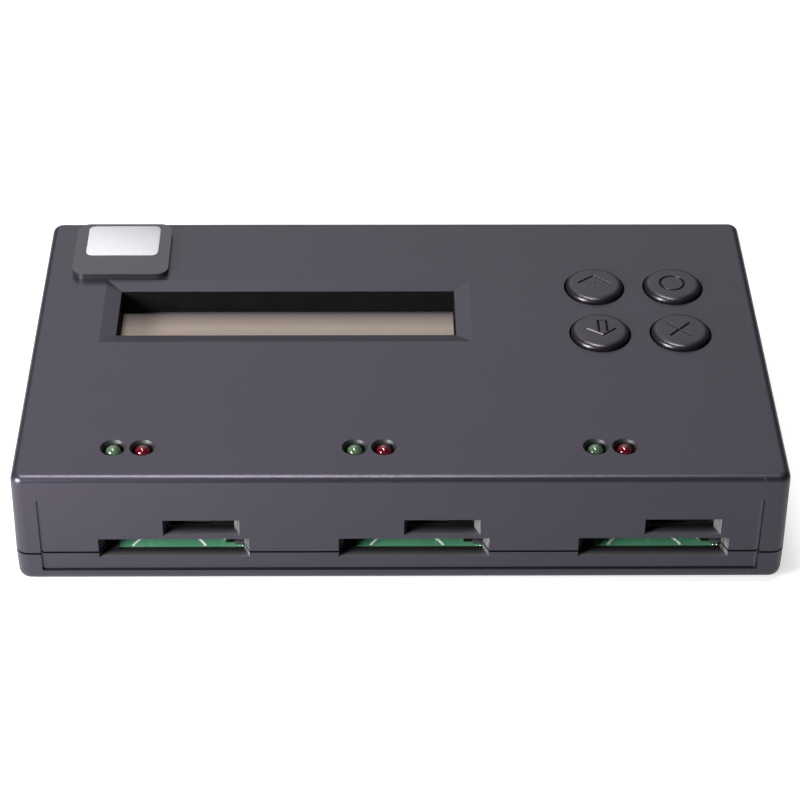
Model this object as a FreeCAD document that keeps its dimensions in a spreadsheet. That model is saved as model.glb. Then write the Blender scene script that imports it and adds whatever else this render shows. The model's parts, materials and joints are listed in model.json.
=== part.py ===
import FreeCAD, Part
import math
import os
import re

import Sketcher

# SD card duplicator, in millimetres. X runs to the right, Y to the back and Z up.
# The origin is the middle of the footprint, on the surface that the feet stand on.

SIZES = {
    # Case, measured at the parting line and without the feet
    "case_depth": 83.4,
    "case_height": 24.2,
    "side_margin": 12.8,
    "corner_radius": 2.4,
    "top_edge_radius": 1.5,
    "bottom_edge_radius": 2.0,
    "draft_angle": 1.0,
    "wall": 2.0,
    "front_wall": 2.8,
    "cavity_radius": 1.2,
    # How far a cut runs on past the face that it goes through
    "cut_spare": 1.0,
    # How far a post runs into the wall that carries it
    "post_root": 0.5,
    # Parting line, with a tongue on the bottom shell and a rebate in the top shell
    "seam_over_sill": 1.36,
    "seam_groove": 0.3,
    "tongue_width": 0.9,
    "tongue_height": 1.2,
    "tongue_gap": 0.1,
    # Rubber feet
    "foot_height": 1.0,
    "foot_width": 9.6,
    "foot_recess": 0.6,
    "foot_gap": 0.2,
    "foot_inset_side": 16.0,
    "foot_inset_end": 11.0,
    # Corner bosses and the screws that close the case
    "boss_radius": 2.9,
    "boss_inset_side": 4.6,
    "boss_inset_end": 5.6,
    "case_screw_radius": 1.3,
    "case_screw_length": 12.0,
    "case_screw_head_radius": 2.0,
    "case_screw_head_height": 1.6,
    "case_screw_recess": 3.0,
    "head_gap": 0.2,
    "thread_gap": 0.05,
    "pilot_spare": 0.8,
    # Recessed panel of the front face
    "panel_inset": 4.7,
    "panel_drop": 5.0,
    "panel_rise": 2.65,
    "panel_depth": 0.4,
    "panel_groove_width": 0.4,
    "panel_groove_depth": 0.3,
    # Card ports: each has an SD slot and a microSD slot above it
    "port_pitch": 43.75,
    "port_middle": 2.45,
    "sd_slot_width": 27.5,
    "microsd_slot_width": 13.9,
    "microsd_slot_height": 3.6,
    "microsd_offset": 5.1,
    "slot_flare": 1.05,
    "slot_web": 0.8,
    "sd_sill": 0.34,
    "microsd_sill": 0.5,
    # Memory cards and the room that they get
    "sd_card_width": 24.0,
    "sd_card_thickness": 2.1,
    "microsd_card_width": 11.0,
    "microsd_card_thickness": 0.7,
    "card_gap": 0.15,
    # Card sockets: a moulded base, a sheet-metal cover and spring contacts
    "cover_metal": 0.25,
    "cover_setback": 0.5,
    "cover_lift": 0.3,
    "contact_rise": 0.2,
    "sd_socket_front": 6.9,
    "sd_socket_depth": 25.0,
    "sd_socket_arm": 1.7,
    "sd_socket_floor": 0.45,
    "sd_socket_back": 3.0,
    "sd_lip_width": 2.9,
    "sd_lip_reach": 2.4,
    "sd_contact_pitch": 2.5,
    "sd_contact_width": 1.0,
    "sd_contact_length": 7.0,
    "microsd_socket_front": 4.85,
    "microsd_socket_depth": 14.6,
    "microsd_socket_arm": 1.3,
    "microsd_socket_floor": 0.3,
    "microsd_socket_back": 2.0,
    "microsd_lip_width": 4.6,
    "microsd_lip_reach": 1.0,
    "microsd_contact_pitch": 1.1,
    "microsd_contact_width": 0.6,
    "microsd_contact_length": 4.0,
    # Circuit boards
    "board_thickness": 1.6,
    "board_gap": 0.4,
    "board_post_height": 1.6,
    "board_post_radius": 2.6,
    "main_board_front": 3.7,
    "main_board_rear_gap": 0.8,
    "socket_headroom": 0.25,
    "card_board_front": 4.3,
    "card_board_rear_gap": 1.4,
    "card_board_side": 1.0,
    "card_post_row": 16.0,
    "spacer_radius": 2.2,
    # Screws of the boards
    "board_screw_radius": 1.2,
    "board_screw_bite": 2.0,
    "board_screw_head_radius": 2.1,
    "board_screw_head_height": 1.3,
    "board_screw_inset_side": 14.3,
    "board_screw_inset_rear": 9.4,
    # Display module under its window
    "window_x": -21.6,
    "window_to_rear": 31.45,
    "window_width": 65.6,
    "window_height": 14.7,
    "window_sink": 6.0,
    "bevel_width": 3.0,
    "bevel_sink": 0.7,
    "skirt_wall": 1.6,
    "bezel_width": 71.2,
    "bezel_height": 24.2,
    "bezel_metal": 0.4,
    "bezel_margin": 0.45,
    "display_frame": 6.6,
    "glass_margin": 1.0,
    "glass_thickness": 2.2,
    "display_board_width": 80.0,
    "display_board_height": 36.0,
    "display_hole_inset": 2.5,
    "display_boss_radius": 2.4,
    # Buttons, their switches and their board
    "button_x": 46.65,
    "button_to_rear": 31.65,
    "button_pitch": 15.5,
    "button_hole_radius": 6.0,
    "button_radius": 5.6,
    "button_rise": 1.1,
    "button_edge": 0.8,
    "button_flange_radius": 6.8,
    "button_flange": 1.0,
    "button_gap": 0.15,
    "button_travel": 0.3,
    "stem_radius": 2.0,
    "stem_length": 1.75,
    "switch_width": 6.0,
    "switch_height": 3.5,
    "plunger_radius": 1.7,
    "plunger_gap": 0.15,
    "plunger_rise": 0.8,
    "plunger_depth": 0.8,
    "plunger_spare": 0.3,
    "button_board_width": 34.0,
    "button_board_depth": 27.5,
    "button_post_offset": 14.9,
    # Lights
    "led_row": 9.2,
    "green_led_offset": -10.8,
    "red_led_offset": -5.5,
    "led_hole_radius": 2.35,
    "led_radius": 1.5,
    "led_length": 5.0,
    "led_nose": 1.0,
    "led_tip_radius": 0.8,
    "led_rise": 0.2,
    "lead_size": 0.5,
    "lead_pitch": 2.54,
    # Direct-current jack at the rear
    "jack_x": 24.1,
    "jack_width": 9.0,
    "jack_depth": 14.4,
    "jack_height": 11.0,
    "jack_axis": 6.5,
    "jack_bore_radius": 3.15,
    "jack_bore_depth": 9.5,
    "jack_pin_radius": 1.0,
    "jack_pin_recess": 1.0,
    "jack_hole_radius": 4.2,
    "jack_gap": 0.2,
    "jack_notch": 0.6,
    # Pin headers between the boards
    "header_pitch": 2.54,
    "header_width": 2.5,
    "header_height": 2.5,
    "header_pin": 0.64,
    "display_header_inset": 2.0,
    "card_header_inset": 5.0,
    # Small parts of the main board, each with its width, depth and height
    "controller_x": -2.0,
    "controller_to_rear": 36.0,
    "controller_width": 14.0,
    "controller_depth": 14.0,
    "controller_height": 1.4,
    "memory_x": -24.0,
    "memory_to_rear": 36.0,
    "memory_width": 10.0,
    "memory_depth": 13.0,
    "memory_height": 1.2,
    "crystal_x": 13.0,
    "crystal_to_rear": 36.0,
    "crystal_width": 5.0,
    "crystal_depth": 3.2,
    "crystal_height": 1.3,
    "regulator_x": 36.0,
    "regulator_to_rear": 19.0,
    "regulator_width": 6.5,
    "regulator_depth": 3.5,
    "regulator_height": 1.6,
    "inductor_x": 13.0,
    "inductor_to_rear": 9.0,
    "inductor_width": 6.0,
    "inductor_depth": 6.0,
    "inductor_height": 2.8,
    "capacitor_x": 35.0,
    "capacitor_pitch": 8.0,
    "capacitor_to_rear": 9.0,
    "capacitor_radius": 3.15,
    "capacitor_height": 5.4,
    # Blank raised plate at the rear left corner
    "plate_inset_side": 5.8,
    "plate_inset_rear": 2.9,
    "plate_width": 19.0,
    "plate_depth": 17.9,
    "plate_thickness": 1.35,
    "plate_radius": 2.5,
    "plate_edge": 0.4,
}

PORTS = (-1, 0, 1)
SD_CONTACTS = 9
MICROSD_CONTACTS = 8
DISPLAY_PINS = 16
CARD_PINS = 5
BUTTON_PINS = 6
SIDES = (-1, 1)

# Posts, screws and spacers inside the closed case have this many sides
HIDDEN_SIDES = 8

# Turns an upright rod so that it points to the rear
TO_REAR = FreeCAD.Rotation(FreeCAD.Vector(-1, 0, 0), 90)

# Edges nearer than this to a height lie at it, and a cut that takes less than this takes nothing
SAME_HEIGHT = 1e-4
LEAST_CUT = 1e-3

# Formulas of the places that several pieces share
HALF_WIDTH = "(port_pitch + sd_slot_width / 2 + side_margin)"
FRONT = "(-case_depth / 2)"
REAR = "(case_depth / 2)"
INNER_SIDE = f"({HALF_WIDTH} - wall)"
INNER_FRONT = f"({FRONT} + front_wall)"
INNER_REAR = f"({REAR} - wall)"
PANEL_FACE = f"({FRONT} + panel_depth)"
PANEL_SIDE = f"({HALF_WIDTH} - panel_inset)"

FLOOR = "(foot_height + wall)"
TOP = "(foot_height + case_height)"
CEILING = f"({TOP} - wall)"
PANEL_TOP = f"({TOP} - panel_drop)"
PANEL_BOTTOM = "(foot_height + panel_rise)"

MAIN_BOARD_BASE = f"({FLOOR} + board_post_height)"
MAIN_BOARD_TOP = f"({MAIN_BOARD_BASE} + board_thickness)"
MAIN_BOARD_SIDE = f"({HALF_WIDTH} - boss_inset_side - boss_radius - board_gap)"
SD_BAY = "(sd_card_thickness + contact_rise + card_gap)"
CARD_BOARD_BASE = f"({MAIN_BOARD_TOP} + sd_socket_floor + {SD_BAY} + cover_metal + socket_headroom)"
CARD_BOARD_TOP = f"({CARD_BOARD_BASE} + board_thickness)"
CARD_POST_Y = f"({FRONT} + card_post_row)"

SD_SLOT_BOTTOM = f"({MAIN_BOARD_TOP} + sd_sill)"
MICROSD_SLOT_BOTTOM = f"({CARD_BOARD_TOP} + microsd_sill)"
SD_SLOT_TOP = f"({MICROSD_SLOT_BOTTOM} - slot_web)"
MICROSD_SLOT_TOP = f"({MICROSD_SLOT_BOTTOM} + microsd_slot_height)"
SEAM = f"({SD_SLOT_BOTTOM} + seam_over_sill)"
TONGUE_TOP = f"({SEAM} + tongue_height)"
SCREW_SEAT = "(foot_height + case_screw_recess)"

WINDOW_Y = f"({REAR} - window_to_rear)"
GLASS_TOP = f"({TOP} - window_sink)"
BEZEL_TOP = f"({GLASS_TOP} + bezel_metal)"
DISPLAY_BOARD_TOP = f"({BEZEL_TOP} - display_frame)"
DISPLAY_BOARD_BASE = f"({DISPLAY_BOARD_TOP} - board_thickness)"
DISPLAY_HOLE_Y = "(display_board_height / 2 - display_hole_inset)"
DISPLAY_SCREW_FRONT = f"({WINDOW_Y} - {DISPLAY_HOLE_Y} - board_screw_head_radius)"
CARD_BOARD_REAR = f"({DISPLAY_SCREW_FRONT} - card_board_rear_gap)"

BUTTON_Y = f"({REAR} - button_to_rear)"
FLANGE_TOP = f"({CEILING} - button_gap)"
STEM_BASE = f"({FLANGE_TOP} - button_flange - stem_length)"
SWITCH_TOP = f"({STEM_BASE} - plunger_rise)"
BUTTON_BOARD_TOP = f"({SWITCH_TOP} - switch_height)"
BUTTON_BOARD_BASE = f"({BUTTON_BOARD_TOP} - board_thickness)"

LED_Y = f"({FRONT} + led_row)"
LED_TOP = f"({TOP} + led_rise)"
LED_BASE = f"({LED_TOP} - led_length)"

JACK_FACE = f"({INNER_REAR} - jack_gap)"
JACK_Z = f"({MAIN_BOARD_TOP} + jack_axis)"

BUTTONS = {
    "up_button": (-1, 1),
    "ok_button": (1, 1),
    "down_button": (-1, -1),
    "back_button": (1, -1),
}

doc = FreeCAD.newDocument("CardDuplicator")
sheet = doc.addObject("Spreadsheet::Sheet", "Sizes")
nodes = []


def fill_sheet():
    """Write each driving size into the sheet as a named cell."""
    for row, (alias, number) in enumerate(SIZES.items(), start=1):
        sheet.set(f"A{row}", alias)
        sheet.set(f"B{row}", str(number))
        sheet.setAlias(f"B{row}", alias)
    doc.recompute()


def bound(formula):
    """The formula with each size written as a cell of the sheet."""
    return re.sub(r"[a-z_]+", lambda word: f"Sizes.{word[0]}" if word[0] in SIZES else word[0], formula)


def value(formula):
    """The number that a formula gives now."""
    result = sheet.evalExpression(bound(formula))
    return getattr(result, "Value", result)


def bind(item, **formulas):
    """Tie properties of an object to the sheet."""
    for name, formula in formulas.items():
        item.setExpression(name, bound(formula))


def place(item, x="0", y="0", z="0"):
    """Tie the place of an object to the sheet."""
    for axis, formula in zip("xyz", (x, y, z)):
        item.setExpression(f"Placement.Base.{axis}", bound(formula))


def port_x(port, offset="0"):
    """The middle of a port, or a place beside it."""
    return f"(port_middle + {port} * port_pitch + {offset})"


def node(item, label):
    """Keep an object as a sub-part under its own label."""
    item.Label = label
    nodes.append(item)
    return item


# Part design: a body with sketches on its own origin planes

def new_body(label, x="0", y="0", z="0"):
    body = doc.addObject("PartDesign::Body", label)
    body.AllowCompound = True
    place(body, x, y, z)
    return body


def datum(body, role):
    """A plane or an axis of the body's own origin."""
    return next(item for item in body.Origin.OriginFeatures if item.Role == role)


def new_sketch(body, role, at="0"):
    """A sketch on an origin plane, moved to a real coordinate along that plane's axis."""
    sketch = body.newObject("Sketcher::SketchObject", f"{body.Name}Sketch")
    sketch.AttachmentSupport = (datum(body, role), "")
    sketch.MapMode = "FlatFace"
    sign = "-" if role == "XZ_Plane" else ""
    sketch.setExpression("AttachmentOffset.Base.z", bound(f"{sign}({at})"))
    return sketch


def distance(formula, kind, item, point):
    """A point's distance from one of the sketch's axes."""
    return Sketcher.Constraint(kind, -1, 1, item, point, value(formula)), formula


def hold(sketch, held):
    """Add constraints, each with its formula, and tie them to the sheet."""
    first = sketch.ConstraintCount
    sketch.addConstraint([constraint for constraint, _ in held])
    for index, (_, formula) in enumerate(held, start=first):
        sketch.renameConstraint(index, f"held{index}")
        sketch.setExpression(f"Constraints.held{index}", bound(formula))


def polygon(sketch, corners):
    """A closed outline of straight lines through corners given as pairs of formulas."""
    first = sketch.GeometryCount
    points = [FreeCAD.Vector(value(x), value(y), 0) for x, y in corners]
    following = points[1:] + points[:1]
    sketch.addGeometry([Part.LineSegment(a, b) for a, b in zip(points, following)], False)
    count = len(corners)
    sketch.addConstraint([Sketcher.Constraint("Coincident", first + (index - 1) % count, 2, first + index, 1)
                          for index in range(count)])
    held = []
    for index, (x, y) in enumerate(corners, start=first):
        held.append(distance(x, "DistanceX", index, 1))
        held.append(distance(y, "DistanceY", index, 1))
    hold(sketch, held)


def rectangle(sketch, left, right, low, high):
    polygon(sketch, [(left, low), (right, low), (right, high), (left, high)])


def centred(sketch, x, y, width, height):
    """A rectangle about its middle."""
    rectangle(sketch, f"{x} - ({width}) / 2", f"{x} + ({width}) / 2",
              f"{y} - ({height}) / 2", f"{y} + ({height}) / 2")


def rounded(sketch, left, right, low, high, radius):
    """A rectangle with four equal round corners."""
    first = sketch.GeometryCount
    x0, x1, y0, y1, r = (value(formula) for formula in (left, right, low, high, radius))
    corners = [(x1 - r, y0 + r), (x1 - r, y1 - r), (x0 + r, y1 - r), (x0 + r, y0 + r)]
    ends = [((x0 + r, y0), (x1 - r, y0)), ((x1, y0 + r), (x1, y1 - r)),
            ((x1 - r, y1), (x0 + r, y1)), ((x0, y1 - r), (x0, y0 + r))]
    for turn, (centre, (start, end)) in enumerate(zip(corners, ends)):
        circle = Part.Circle(FreeCAD.Vector(*centre, 0), FreeCAD.Vector(0, 0, 1), r)
        angle = (turn - 1) * math.pi / 2
        sketch.addGeometry(Part.LineSegment(FreeCAD.Vector(*start, 0), FreeCAD.Vector(*end, 0)), False)
        sketch.addGeometry(Part.ArcOfCircle(circle, angle, angle + math.pi / 2), False)
    shape = [Sketcher.Constraint("Tangent", first + index, 2, first + (index + 1) % 8, 1)
             for index in range(8)]
    shape += [Sketcher.Constraint("Horizontal", first + side) for side in (0, 4)]
    shape += [Sketcher.Constraint("Vertical", first + side) for side in (2, 6)]
    shape += [Sketcher.Constraint("Equal", first + 1, first + arc) for arc in (3, 5, 7)]
    sketch.addConstraint(shape)
    hold(sketch, [
        (Sketcher.Constraint("Radius", first + 1, r), radius),
        distance(low, "DistanceY", first, 1), distance(right, "DistanceX", first + 2, 1),
        distance(high, "DistanceY", first + 4, 1), distance(left, "DistanceX", first + 6, 1),
    ])


def pad(body, sketch, length, backward=False, taper="0"):
    """Raise a sketch along its normal, or against it."""
    feature = body.newObject("PartDesign::Pad", f"{body.Name}Pad")
    feature.Profile = sketch
    feature.Reversed = backward
    bind(feature, Length=length, TaperAngle=taper)
    return feature


def pocket(body, sketch, length, backward=False):
    """Cut a sketch against its normal, or along it."""
    feature = body.newObject("PartDesign::Pocket", f"{body.Name}Pocket")
    feature.Profile = sketch
    feature.Reversed = backward
    bind(feature, Length=length)
    return feature


def dress(body, kind, feature, size, height):
    """Round or bevel the feature's edges that lie at one height."""
    doc.recompute()
    level = value(height)
    names = []
    for index, edge in enumerate(feature.Shape.Edges, start=1):
        box = edge.BoundBox
        if abs(box.ZMin - level) < SAME_HEIGHT and abs(box.ZMax - level) < SAME_HEIGHT:
            names.append(f"Edge{index}")
    dressed = body.newObject(f"PartDesign::{kind}", f"{body.Name}{kind}")
    dressed.Base = (feature, names)
    bind(dressed, **{"Radius" if kind == "Fillet" else "Size": size})
    return dressed


# Part primitives: blocks, rods and their sums

def block(label, x, y, z, width, depth, height):
    """A block on its base, about its middle in plan."""
    item = doc.addObject("Part::Box", label)
    bind(item, Length=width, Width=depth, Height=height)
    place(item, f"{x} - ({width}) / 2", f"{y} - ({depth}) / 2", z)
    return item


def rod(label, x, y, z, radius, height):
    item = doc.addObject("Part::Cylinder", label)
    bind(item, Radius=radius, Height=height)
    place(item, x, y, z)
    return item


def cone(label, x, y, z, low_radius, high_radius, height):
    item = doc.addObject("Part::Cone", label)
    bind(item, Radius1=low_radius, Radius2=high_radius, Height=height)
    place(item, x, y, z)
    return item


def prism(label, x, y, z, radius, height):
    """A rod for the inside of the case, as an even prism."""
    item = doc.addObject("Part::Prism", label)
    item.Polygon = HIDDEN_SIDES
    bind(item, Circumradius=radius, Height=height)
    place(item, x, y, z)
    return item


def prisms(label, places, z, radius, height):
    """Equal prisms at several places."""
    return [prism(f"{label}{index}", x, y, z, radius, height) for index, (x, y) in enumerate(places)]


def joined(label, items):
    """Pieces that touch, made one solid."""
    item = doc.addObject("Part::MultiFuse", label)
    item.Shapes = items
    item.Refine = True
    return item


def cut(label, base, tools):
    """A piece with other pieces taken out of it."""
    tool = doc.addObject("Part::Compound", f"{label}_tools")
    tool.Links = tools
    item = doc.addObject("Part::Cut", label)
    item.Base = base
    item.Tool = tool
    item.Refine = True
    return item


def group(label, items):
    """Equal pieces that stay separate solids under one name."""
    item = doc.addObject("Part::Compound", label)
    item.Links = items
    return node(item, label)


def board_screw(label, x, y, seat, length, upward):
    """A screw inside the case, whose head bears on its board."""
    shank_base = seat if upward else f"{seat} - ({length})"
    head_base = f"{seat} - board_screw_head_height" if upward else seat
    shank = prism(f"{label}Shank", x, y, shank_base, "board_screw_radius", length)
    head = prism(f"{label}Head", x, y, head_base, "board_screw_head_radius", "board_screw_head_height")
    return joined(label, [shank, head])


def case_screw(label, x, y):
    """A screw from below, with its head in the open sink."""
    shank = prism(f"{label}Shank", x, y, SCREW_SEAT, "case_screw_radius", "case_screw_length")
    head = prism(f"{label}Head", x, y, f"{SCREW_SEAT} - case_screw_head_height", "case_screw_head_radius",
                 "case_screw_head_height")
    return joined(label, [shank, head])


# Places that repeat about the case

def corner_places(inset_side, inset_front, inset_rear):
    """Four places, one in each corner of the case."""
    places = []
    for side in SIDES:
        x = f"{side} * ({HALF_WIDTH} - {inset_side})"
        places.append((x, f"({FRONT} + {inset_front})"))
        places.append((x, f"({REAR} - {inset_rear})"))
    return places


def boss_places():
    return corner_places("boss_inset_side", "boss_inset_end", "boss_inset_end")


def foot_places():
    return corner_places("foot_inset_side", "foot_inset_end", "foot_inset_end")


def card_post_places():
    return [(f"(port_middle + {side} * port_pitch / 2)", CARD_POST_Y) for side in SIDES]


def board_screw_places():
    y = f"({REAR} - board_screw_inset_rear)"
    return [(f"{side} * ({HALF_WIDTH} - board_screw_inset_side)", y) for side in SIDES]


def display_hole_places():
    return [(f"(window_x + {right} * (display_board_width / 2 - display_hole_inset))",
             f"({WINDOW_Y} + {back} * {DISPLAY_HOLE_Y})")
            for right in SIDES for back in SIDES]


def button_post_places():
    return [(f"(button_x + {side} * button_post_offset)", BUTTON_Y) for side in SIDES]


def button_place(button):
    right, back = BUTTONS[button]
    return f"(button_x + {right} * button_pitch / 2)", f"({BUTTON_Y} + {back} * button_pitch / 2)"


# The two shells

def case_outline(sketch):
    rounded(sketch, f"-{HALF_WIDTH}", HALF_WIDTH, FRONT, REAR, "corner_radius")


def cavity_outline(sketch, growth="0"):
    rounded(sketch, f"-({INNER_SIDE} + {growth})", f"{INNER_SIDE} + {growth}",
            f"{INNER_FRONT} - {growth}", f"{INNER_REAR} + {growth}", f"cavity_radius + {growth}")


def slot_outline(sketch, middle, width):
    """The plan of a card slot: straight in the panel's recess, then narrowing to the inside."""
    half = f"{width} / 2"
    mouth = f"{FRONT} - cut_spare"
    throat = f"{INNER_FRONT} + cut_spare"
    inner = f"({half} - slot_flare)"
    polygon(sketch, [
        (f"{middle} - {half}", mouth), (f"{middle} + {half}", mouth),
        (f"{middle} + {half}", PANEL_FACE), (f"{middle} + {inner}", INNER_FRONT),
        (f"{middle} + {inner}", throat), (f"{middle} - {inner}", throat),
        (f"{middle} - {inner}", INNER_FRONT), (f"{middle} - {half}", PANEL_FACE),
    ])


def cut_slots(body, width, offset, bottom, top):
    sketch = new_sketch(body, "XY_Plane", bottom)
    for port in PORTS:
        slot_outline(sketch, port_x(port, offset), width)
    pocket(body, sketch, f"{top} - {bottom}", backward=True)


def cut_panel(body, bottom, top):
    """The panel's recess and the narrow groove that runs down its sides."""
    recess = new_sketch(body, "XZ_Plane", PANEL_FACE)
    rectangle(recess, f"-{PANEL_SIDE}", PANEL_SIDE, bottom, top)
    pocket(body, recess, "panel_depth + cut_spare", backward=True)
    groove = new_sketch(body, "XZ_Plane", PANEL_FACE)
    for side in SIDES:
        edges = [f"{side} * {PANEL_SIDE}", f"{side} * ({PANEL_SIDE} - panel_groove_width)"]
        left, right = edges if side < 0 else edges[::-1]
        rectangle(groove, left, right, bottom, top)
    pocket(body, groove, "panel_groove_depth")


def make_top_walls():
    """The upper shell without its posts and round holes."""
    body = new_body("top_walls")
    outline = new_sketch(body, "XY_Plane", SEAM)
    case_outline(outline)
    walls = pad(body, outline, f"{TOP} - {SEAM}", taper="-draft_angle")
    dress(body, "Fillet", walls, "top_edge_radius", TOP)

    cavity = new_sketch(body, "XY_Plane", SEAM)
    cavity_outline(cavity)
    pocket(body, cavity, f"{CEILING} - {SEAM}", backward=True)
    rebate = new_sketch(body, "XY_Plane", SEAM)
    cavity_outline(rebate, "(tongue_width + tongue_gap)")
    pocket(body, rebate, "tongue_height + tongue_gap", backward=True)

    skirt = new_sketch(body, "XY_Plane", CEILING)
    centred(skirt, "window_x", WINDOW_Y, "window_width + 2 * skirt_wall", "window_height + 2 * skirt_wall")
    pad(body, skirt, f"{CEILING} - {BEZEL_TOP}", backward=True)
    window = new_sketch(body, "XY_Plane", TOP)
    centred(window, "window_x", WINDOW_Y, "window_width", "window_height")
    pocket(body, window, f"{TOP} - {BEZEL_TOP}")
    cut_bevel(body)

    cut_panel(body, SEAM, PANEL_TOP)
    cut_slots(body, "sd_slot_width", "0", SEAM, SD_SLOT_TOP)
    cut_slots(body, "microsd_slot_width", "microsd_offset", MICROSD_SLOT_BOTTOM, MICROSD_SLOT_TOP)
    return body


def make_top_shell():
    """The upper shell: walls, screw posts under its ceiling, and the holes for what shows."""
    boss_end = f"({TONGUE_TOP} + tongue_gap)"
    ends = [
        ("top_boss", boss_places(), boss_end, "boss_radius"),
        ("display_post", display_hole_places(), DISPLAY_BOARD_TOP, "display_boss_radius"),
        ("button_post", button_post_places(), BUTTON_BOARD_TOP, "board_post_radius"),
    ]
    posts = []
    for label, places, end, radius in ends:
        posts += prisms(label, places, end, radius, f"{CEILING} + post_root - {end}")
    shell = joined("top_mould", [make_top_walls()] + posts)

    case_pilot_depth = f"{SCREW_SEAT} + case_screw_length + pilot_spare - {TONGUE_TOP}"
    tools = prisms("top_pilot", boss_places(), TONGUE_TOP,
                   "case_screw_radius + thread_gap", case_pilot_depth)
    tools += prisms("display_pilot", display_hole_places(), DISPLAY_BOARD_TOP,
                    "board_screw_radius + thread_gap", "board_screw_bite + pilot_spare")
    tools += prisms("button_pilot", button_post_places(), BUTTON_BOARD_TOP,
                    "board_screw_radius + thread_gap", "board_screw_bite + pilot_spare")
    hole_base = f"{CEILING} - cut_spare"
    hole_depth = "wall + 2 * cut_spare"
    for index, name in enumerate(BUTTONS):
        x, y = button_place(name)
        tools.append(rod(f"button_hole{index}", x, y, hole_base, "button_hole_radius", hole_depth))
    for port in PORTS:
        for colour in ("green", "red"):
            x = port_x(port, f"{colour}_led_offset")
            tools.append(rod(f"{colour}_led_hole_{port + 2}", x, LED_Y, hole_base,
                             "led_hole_radius", hole_depth))
    jack_hole = rod("jack_hole", "jack_x", f"{INNER_REAR} - cut_spare", JACK_Z,
                    "jack_hole_radius", hole_depth)
    jack_hole.Placement.Rotation = TO_REAR
    tools.append(jack_hole)
    node(cut("top_shell", shell, tools), "top_shell")


def cut_bevel(body):
    """The wide bevel that leads down to the display window."""
    profiles = []
    for height, growth in ((TOP, "bevel_width"), (f"{TOP} - bevel_sink", "0")):
        sketch = new_sketch(body, "XY_Plane", height)
        centred(sketch, "window_x", WINDOW_Y,
                f"window_width + 2 * {growth}", f"window_height + 2 * {growth}")
        profiles.append(sketch)
    bevel = body.newObject("PartDesign::SubtractiveLoft", "WindowBevel")
    bevel.Profile = profiles[0]
    bevel.Sections = [profiles[1]]
    bevel.Ruled = True


def make_bottom_walls():
    """The lower shell without its posts, sinks and recesses."""
    body = new_body("bottom_walls")
    outline = new_sketch(body, "XY_Plane", SEAM)
    case_outline(outline)
    walls = pad(body, outline, f"{SEAM} - foot_height", backward=True, taper="-draft_angle")
    dress(body, "Fillet", walls, "bottom_edge_radius", "foot_height")

    cavity = new_sketch(body, "XY_Plane", SEAM)
    cavity_outline(cavity)
    pocket(body, cavity, f"{SEAM} - {FLOOR}")
    tongue = new_sketch(body, "XY_Plane", SEAM)
    cavity_outline(tongue, "tongue_width")
    cavity_outline(tongue)
    pad(body, tongue, "tongue_height")

    notch = new_sketch(body, "XY_Plane", SEAM)
    centred(notch, "jack_x", INNER_REAR, "jack_width + 2 * jack_notch", "2 * (tongue_width + tongue_gap)")
    pocket(body, notch, "tongue_height", backward=True)

    cut_seam_groove(body)
    cut_panel(body, PANEL_BOTTOM, SEAM)
    foot_of_panel = new_sketch(body, "XZ_Plane", PANEL_FACE)
    rectangle(foot_of_panel, f"-({PANEL_SIDE} - panel_groove_width)", f"{PANEL_SIDE} - panel_groove_width",
              PANEL_BOTTOM, f"{PANEL_BOTTOM} + panel_groove_width")
    pocket(body, foot_of_panel, "panel_groove_depth")
    cut_slots(body, "sd_slot_width", "0", SD_SLOT_BOTTOM, TONGUE_TOP)
    return body


def make_bottom_shell():
    """The lower shell: walls, posts on its floor, sinks for the case screws and recesses for the feet."""
    root = f"({FLOOR} - post_root)"
    board_places = card_post_places() + board_screw_places()
    posts = prisms("bottom_boss", boss_places(), root, "boss_radius", f"{TONGUE_TOP} - {root}")
    posts += prisms("board_post", board_places, root, "board_post_radius", f"{MAIN_BOARD_BASE} - {root}")
    shell = joined("bottom_mould", [make_bottom_walls()] + posts)

    pilot_depth = "(board_screw_bite + thread_gap)"
    tools = prisms("board_pilot", board_places, f"{MAIN_BOARD_BASE} - {pilot_depth}",
                   "board_screw_radius + thread_gap", f"{pilot_depth} + cut_spare")
    tools += prisms("screw_way", boss_places(), f"{SCREW_SEAT} - cut_spare", "case_screw_radius + head_gap",
                    f"{TONGUE_TOP} - {SCREW_SEAT} + 2 * cut_spare")
    tools += prisms("screw_sink", boss_places(), "foot_height - cut_spare",
                    "case_screw_head_radius + head_gap", "case_screw_recess + cut_spare")
    for index, (x, y) in enumerate(foot_places()):
        width = "foot_width + 2 * foot_gap"
        tools.append(block(f"foot_sink{index}", x, y, "foot_height - cut_spare", width, width,
                           "foot_recess + cut_spare"))
    node(cut("bottom_shell", shell, tools), "bottom_shell")


def cut_seam_groove(body):
    """The shadow line: the rim steps back all round, and again inside the front panel."""
    ring = new_sketch(body, "XY_Plane", SEAM)
    rounded(ring, f"-{HALF_WIDTH} - cut_spare", f"{HALF_WIDTH} + cut_spare",
            f"{FRONT} - cut_spare", f"{REAR} + cut_spare", "corner_radius + cut_spare")
    rounded(ring, f"-{HALF_WIDTH} + seam_groove", f"{HALF_WIDTH} - seam_groove",
            f"{FRONT} + seam_groove", f"{REAR} - seam_groove", "corner_radius - seam_groove")
    pocket(body, ring, "seam_groove")
    step = new_sketch(body, "XY_Plane", SEAM)
    rectangle(step, f"-{PANEL_SIDE}", PANEL_SIDE, f"{FRONT} - cut_spare", f"{PANEL_FACE} + seam_groove")
    pocket(body, step, "seam_groove")


def make_plate():
    body = new_body("name_plate", f"-{HALF_WIDTH} + plate_inset_side", f"{REAR} - plate_inset_rear", TOP)
    sketch = new_sketch(body, "XY_Plane")
    rounded(sketch, "0", "plate_width", "-plate_depth", "0", "plate_radius")
    plate = pad(body, sketch, "plate_thickness")
    dress(body, "Chamfer", plate, "plate_edge", "plate_thickness")
    node(body, "name_plate")


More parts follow.
